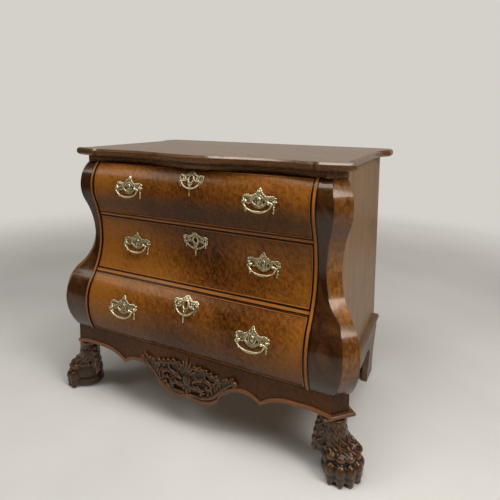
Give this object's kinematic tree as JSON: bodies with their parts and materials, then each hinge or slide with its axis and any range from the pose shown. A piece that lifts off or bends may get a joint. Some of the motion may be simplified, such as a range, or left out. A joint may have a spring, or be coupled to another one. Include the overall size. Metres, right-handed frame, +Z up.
{
  "type": "chest of drawers",
  "caption": "Bombe chest of long drawers with an S-shaped front, diagonal corner posts, shaped apron, drop handles and carved paw feet.",
  "frame": {"origin": "middle of the chest's footprint, on the floor", "axes": "+X along the front to the viewer's right, -Y out of the drawer fronts, +Z up"},
  "size_m": [0.98, 0.6336, 0.8],
  "materials": {
    "burr_walnut": "polished, figured veneer",
    "walnut_bead": "polished",
    "dark_walnut": "polished",
    "walnut": "satin",
    "oak": "matt, unfinished",
    "brass": "aged",
    "iron": "dull"
  },
  "bodies": {
    "chest_case": {"apron_cartouche": "dark_walnut", "apron_rim": "walnut_bead", "back_boards": "oak", "bottom_board": "oak", "corner_post_left": "dark_walnut", "corner_post_right": "dark_walnut", "cornice": "dark_walnut", "cornice_necks": "dark_walnut", "drawer_guides": "oak", "drawer_runners": "oak", "foot_blocks": "dark_walnut", "foot_caps": "dark_walnut", "front_apron": "walnut", "paw_foot_left": "dark_walnut", "paw_foot_right": "dark_walnut", "post_beads": "walnut_bead", "post_panels": "dark_walnut", "rail_lower": "walnut_bead", "rail_upper": "walnut_bead", "rear_foot_brackets": "walnut", "side_apron_left": "walnut", "side_apron_right": "walnut", "side_mouldings": "walnut", "side_panel_left": "walnut", "side_panel_right": "walnut", "top_board": "dark_walnut", "top_kickers": "oak"},
    "upper_drawer": {"drawer_1_back": "oak", "drawer_1_bead": "walnut_bead", "drawer_1_bottom": "oak", "drawer_1_escutcheon": "brass", "drawer_1_front": "burr_walnut", "drawer_1_handle_plates": "brass", "drawer_1_lock_case": "iron", "drawer_1_sides": "oak"},
    "upper_lock_bolt": {"drawer_1_lock_bolt": "iron"},
    "upper_left_bail": {"drawer_1_bail_left": "brass"},
    "upper_right_bail": {"drawer_1_bail_right": "brass"},
    "middle_drawer": {"drawer_2_back": "oak", "drawer_2_bead": "walnut_bead", "drawer_2_bottom": "oak", "drawer_2_escutcheon": "brass", "drawer_2_front": "burr_walnut", "drawer_2_handle_plates": "brass", "drawer_2_lock_case": "iron", "drawer_2_sides": "oak"},
    "middle_lock_bolt": {"drawer_2_lock_bolt": "iron"},
    "middle_left_bail": {"drawer_2_bail_left": "brass"},
    "middle_right_bail": {"drawer_2_bail_right": "brass"},
    "lower_drawer": {"drawer_3_back": "oak", "drawer_3_bead": "walnut_bead", "drawer_3_bottom": "oak", "drawer_3_escutcheon": "brass", "drawer_3_front": "burr_walnut", "drawer_3_handle_plates": "brass", "drawer_3_lock_case": "iron", "drawer_3_sides": "oak"},
    "lower_lock_bolt": {"drawer_3_lock_bolt": "iron"},
    "lower_left_bail": {"drawer_3_bail_left": "brass"},
    "lower_right_bail": {"drawer_3_bail_right": "brass"}
  },
  "joints": [
    {"name": "upper_drawer_slide", "type": "slide", "parent": "chest_case", "child": "upper_drawer", "axis": [0, -1, 0], "range_m": [0, 0.38]},
    {"name": "upper_lock_throw", "type": "slide", "parent": "upper_drawer", "child": "upper_lock_bolt", "axis": [0, 0, 1], "range_m": [0, 0.008]},
    {"name": "upper_left_bail_hinge", "type": "hinge", "parent": "upper_drawer", "child": "upper_left_bail", "pos_m": [-0.21099, -0.2812, 0.692], "axis": [-1, 0, 0], "range_deg": [-10, 165]},
    {"name": "upper_right_bail_hinge", "type": "hinge", "parent": "upper_drawer", "child": "upper_right_bail", "pos_m": [0.21099, -0.2812, 0.692], "axis": [-1, 0, 0], "range_deg": [-10, 165]},
    {"name": "middle_drawer_slide", "type": "slide", "parent": "chest_case", "child": "middle_drawer", "axis": [0, -1, 0], "range_m": [0, 0.38]},
    {"name": "middle_lock_throw", "type": "slide", "parent": "middle_drawer", "child": "middle_lock_bolt", "axis": [0, 0, 1], "range_m": [0, 0.008]},
    {"name": "middle_left_bail_hinge", "type": "hinge", "parent": "middle_drawer", "child": "middle_left_bail", "pos_m": [-0.21099, -0.2442, 0.5155], "axis": [-1, 0, 0], "range_deg": [-10, 165]},
    {"name": "middle_right_bail_hinge", "type": "hinge", "parent": "middle_drawer", "child": "middle_right_bail", "pos_m": [0.21099, -0.2442, 0.5155], "axis": [-1, 0, 0], "range_deg": [-10, 165]},
    {"name": "lower_drawer_slide", "type": "slide", "parent": "chest_case", "child": "lower_drawer", "axis": [0, -1, 0], "range_m": [0, 0.38]},
    {"name": "lower_lock_throw", "type": "slide", "parent": "lower_drawer", "child": "lower_lock_bolt", "axis": [0, 0, 1], "range_m": [0, 0.008]},
    {"name": "lower_left_bail_hinge", "type": "hinge", "parent": "lower_drawer", "child": "lower_left_bail", "pos_m": [-0.21099, -0.3122, 0.337], "axis": [-1, 0, 0], "range_deg": [-10, 165]},
    {"name": "lower_right_bail_hinge", "type": "hinge", "parent": "lower_drawer", "child": "lower_right_bail", "pos_m": [0.21099, -0.3122, 0.337], "axis": [-1, 0, 0], "range_deg": [-10, 165]}
  ]
}
